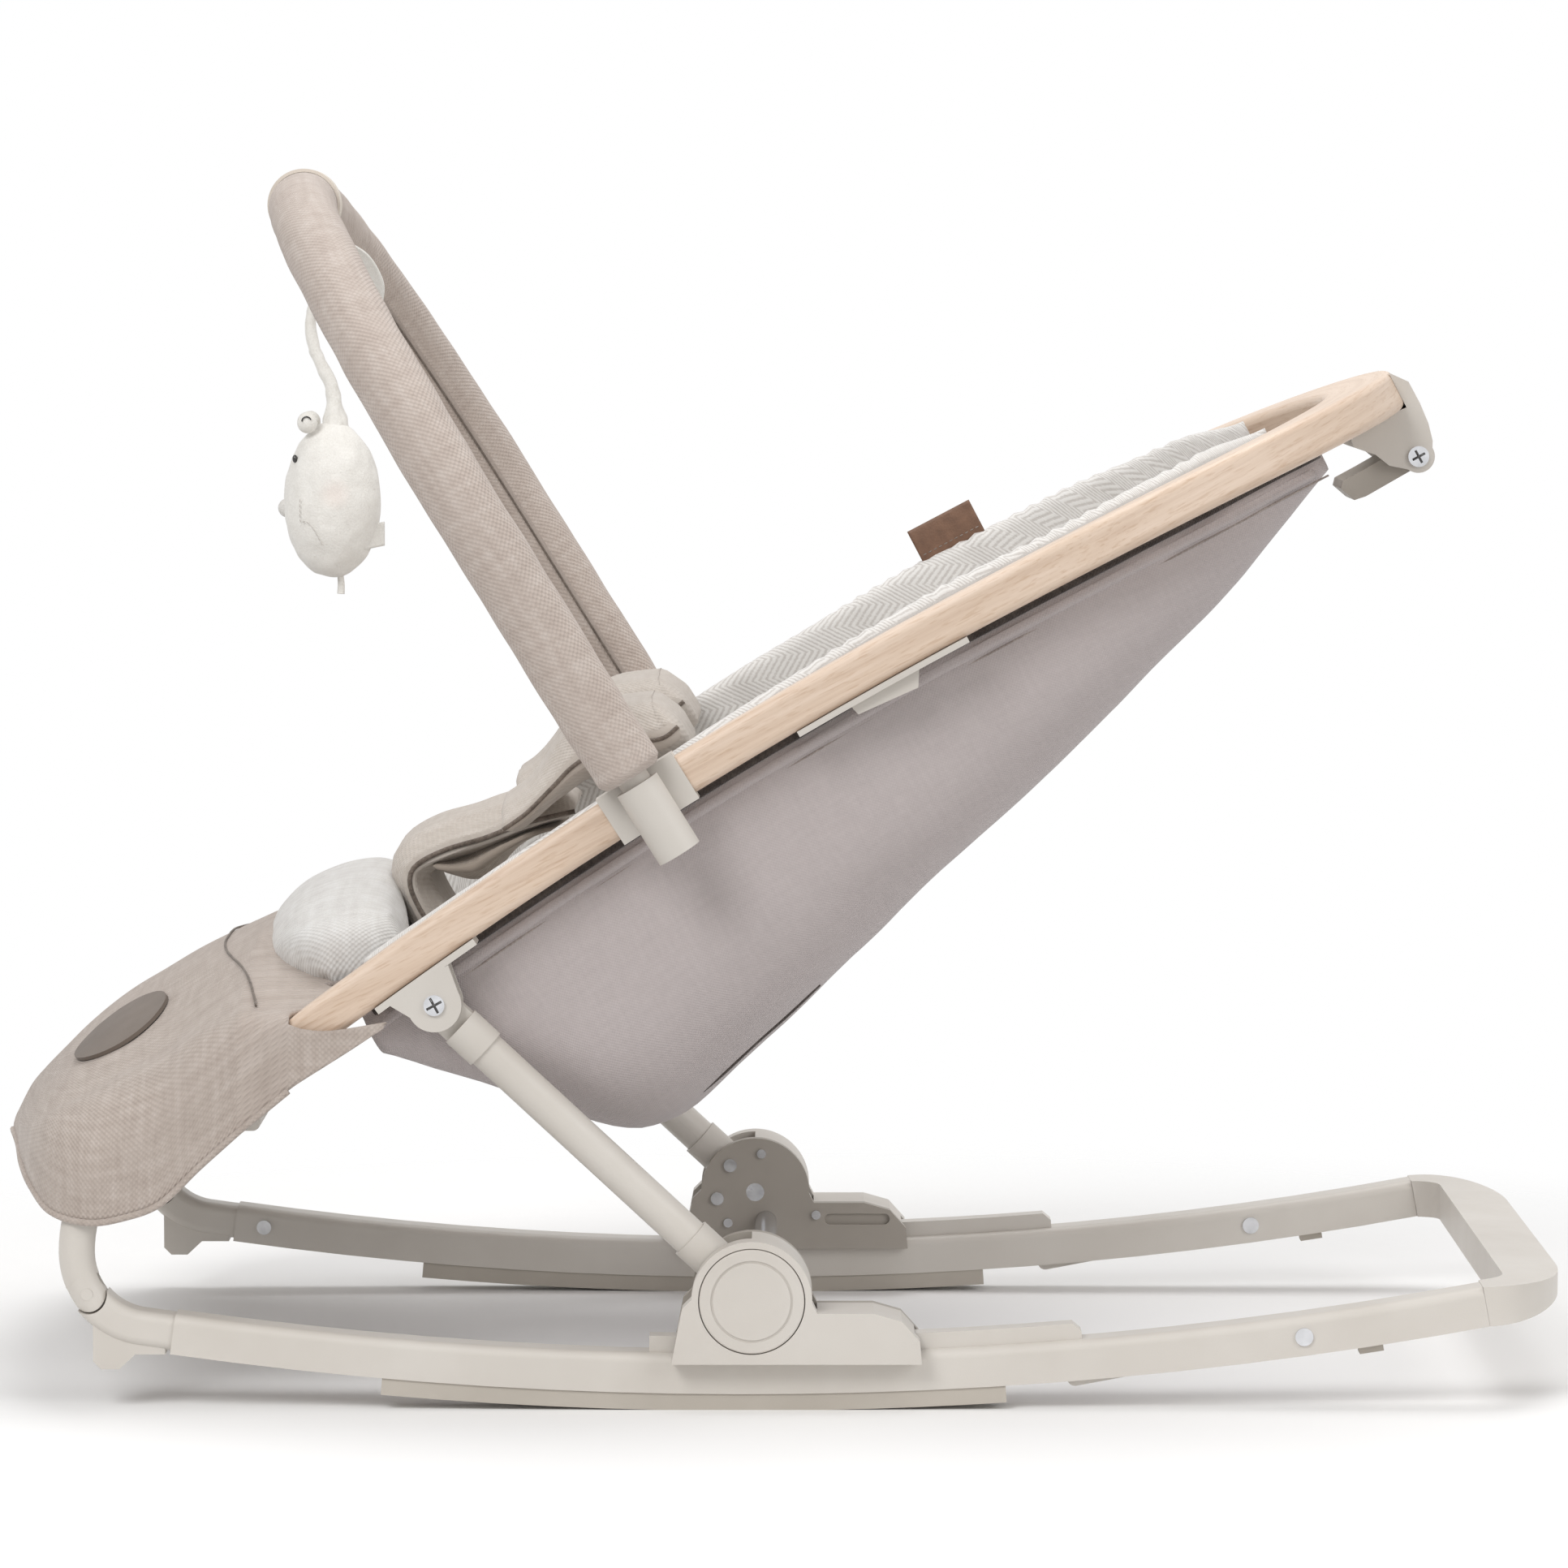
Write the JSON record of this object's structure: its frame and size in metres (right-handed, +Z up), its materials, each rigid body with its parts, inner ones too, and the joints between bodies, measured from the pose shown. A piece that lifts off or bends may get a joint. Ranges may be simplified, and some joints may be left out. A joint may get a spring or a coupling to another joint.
{
  "type": "bouncer seat",
  "caption": "Baby bouncer seat on rocker rails: bent wood loop with fabric sling, padded liner, harness and foot cover, folding legs on sliding hubs, and a lift-off toy bar.",
  "frame": {"origin": "on the floor under the middle of the overall box", "axes": "+Z up, -X towards the foot end, +X towards the head end, -Y the sitter's left"},
  "size_m": [0.801, 0.4502, 0.6185],
  "materials": {
    "frame_grey": "satin warm grey",
    "plastic_grey": "fine matte",
    "rubber_grey": "soft matte",
    "steel": "bright",
    "beech": "clear satin lacquer",
    "sling_taupe": "plain weave",
    "pad_light": "herringbone knit",
    "melange_beige": "melange weave",
    "badge_brown": "matte",
    "leather_brown": "plain",
    "plush_white": "short plush"
  },
  "bodies": {
    "base": {"rocker_rail_left": "frame_grey", "rocker_rail_right": "frame_grey", "rocker_pads": "rubber_grey", "slide_tracks": "frame_grey", "rear_crossbar": "frame_grey", "front_elbow_left": "plastic_grey", "front_elbow_right": "plastic_grey", "front_feet": "rubber_grey", "front_pivot_pins": "steel", "kickstand_pins": "steel", "rear_bumpers": "rubber_grey", "rail_screws": "steel"},
    "kickstand_left": {"kickstand_left": "plastic_grey"},
    "kickstand_right": {"kickstand_right": "plastic_grey"},
    "seat": {"front_tube": "frame_grey", "front_yoke": "plastic_grey", "wood_frame": "beech", "leg_bracket_left": "plastic_grey", "leg_bracket_right": "plastic_grey", "leg_pivot_bolts": "steel", "sling": "sling_taupe", "seat_pad": "pad_light", "leg_cushion": "pad_light", "boot": "melange_beige", "boot_badge": "badge_brown", "label_tab": "leather_brown", "crotch_strap": "melange_beige", "waist_strap_left": "melange_beige", "waist_strap_right": "melange_beige", "fabric_clips": "plastic_grey", "toy_bar_clip_left": "plastic_grey", "toy_bar_clip_right": "plastic_grey", "head_bracket": "plastic_grey", "latch_pin": "steel"},
    "latch": {"latch_lever": "plastic_grey"},
    "legs": {"leg_tube_left": "frame_grey", "leg_tube_right": "frame_grey", "leg_upper_knuckle_left": "plastic_grey", "leg_upper_knuckle_right": "plastic_grey", "leg_lower_disc_left": "plastic_grey", "leg_lower_disc_right": "plastic_grey"},
    "carriage": {"hub_housing_left": "plastic_grey", "hub_housing_right": "plastic_grey", "hub_inner_covers": "plastic_grey", "hub_axles": "steel", "hub_screws": "steel", "sync_rod": "steel"},
    "hub_button_left": {"hub_button_left": "plastic_grey"},
    "hub_button_right": {"hub_button_right": "plastic_grey"},
    "toy_bar": {"toy_bar_core": "steel", "toy_bar_cover": "melange_beige", "toy_ring": "melange_beige", "toy_pin": "steel"},
    "toy": {"toy_strap": "plush_white", "toy_body": "plush_white", "toy_ears": "plush_white", "toy_nose": "plush_white", "toy_tag": "plush_white", "toy_tail": "plush_white"}
  },
  "joints": [
    {"name": "seat_fold", "type": "hinge", "parent": "base", "child": "seat", "pos_m": [-0.34218, 0, 0.05786], "axis": [0, 1, 0], "range_deg": [0, 30.5], "deforming": ["sling", "seat_pad"]},
    {"name": "leg_turn", "type": "hinge", "parent": "seat", "child": "legs", "pos_m": [-0.1685, 0, 0.203], "axis": [0, 1, 0], "range_deg": [-65, 1]},
    {"name": "carriage_turn", "type": "hinge", "parent": "legs", "child": "carriage", "pos_m": [-0.011, 0, 0.0565], "axis": [0, 1, 0], "range_deg": [-1, 31]},
    {"name": "kickstand_left_turn", "type": "hinge", "parent": "base", "child": "kickstand_left", "pos_m": [0.264, -0.184, 0.037], "axis": [0, -1, 0], "range_deg": [0, 140]},
    {"name": "kickstand_right_turn", "type": "hinge", "parent": "base", "child": "kickstand_right", "pos_m": [0.264, 0.184, 0.037], "axis": [0, -1, 0], "range_deg": [0, 140]},
    {"name": "latch_turn", "type": "hinge", "parent": "seat", "child": "latch", "pos_m": [0.3335, 0, 0.4698], "axis": [0, -1, 0], "range_deg": [0, 20], "stiffness_Nm_per_rad": 0.4, "springref_deg": -14.32},
    {"name": "hub_button_left_press", "type": "slide", "parent": "carriage", "child": "hub_button_left", "axis": [0, 1, 0], "range_m": [0, 0.0032], "stiffness_N_per_m": 900, "springref_m": -0.001},
    {"name": "hub_button_right_press", "type": "slide", "parent": "carriage", "child": "hub_button_right", "axis": [0, -1, 0], "range_m": [0, 0.0032], "stiffness_N_per_m": 900, "springref_m": -0.001},
    {"name": "toy_bar_lift", "type": "slide", "parent": "seat", "child": "toy_bar", "axis": [-0.527, 0, 0.8499], "range_m": [0, 0.06]},
    {"name": "toy_swing", "type": "hinge", "parent": "toy_bar", "child": "toy", "pos_m": [-0.23196, 0, 0.57706], "axis": [0, 1, 0], "range_deg": [-30, 30]}
  ],
  "couplings": [
    {"joint": "leg_turn", "follows": "seat_fold", "ratio": -2.098},
    {"joint": "carriage_turn", "follows": "seat_fold", "ratio": 0.993}
  ]
}
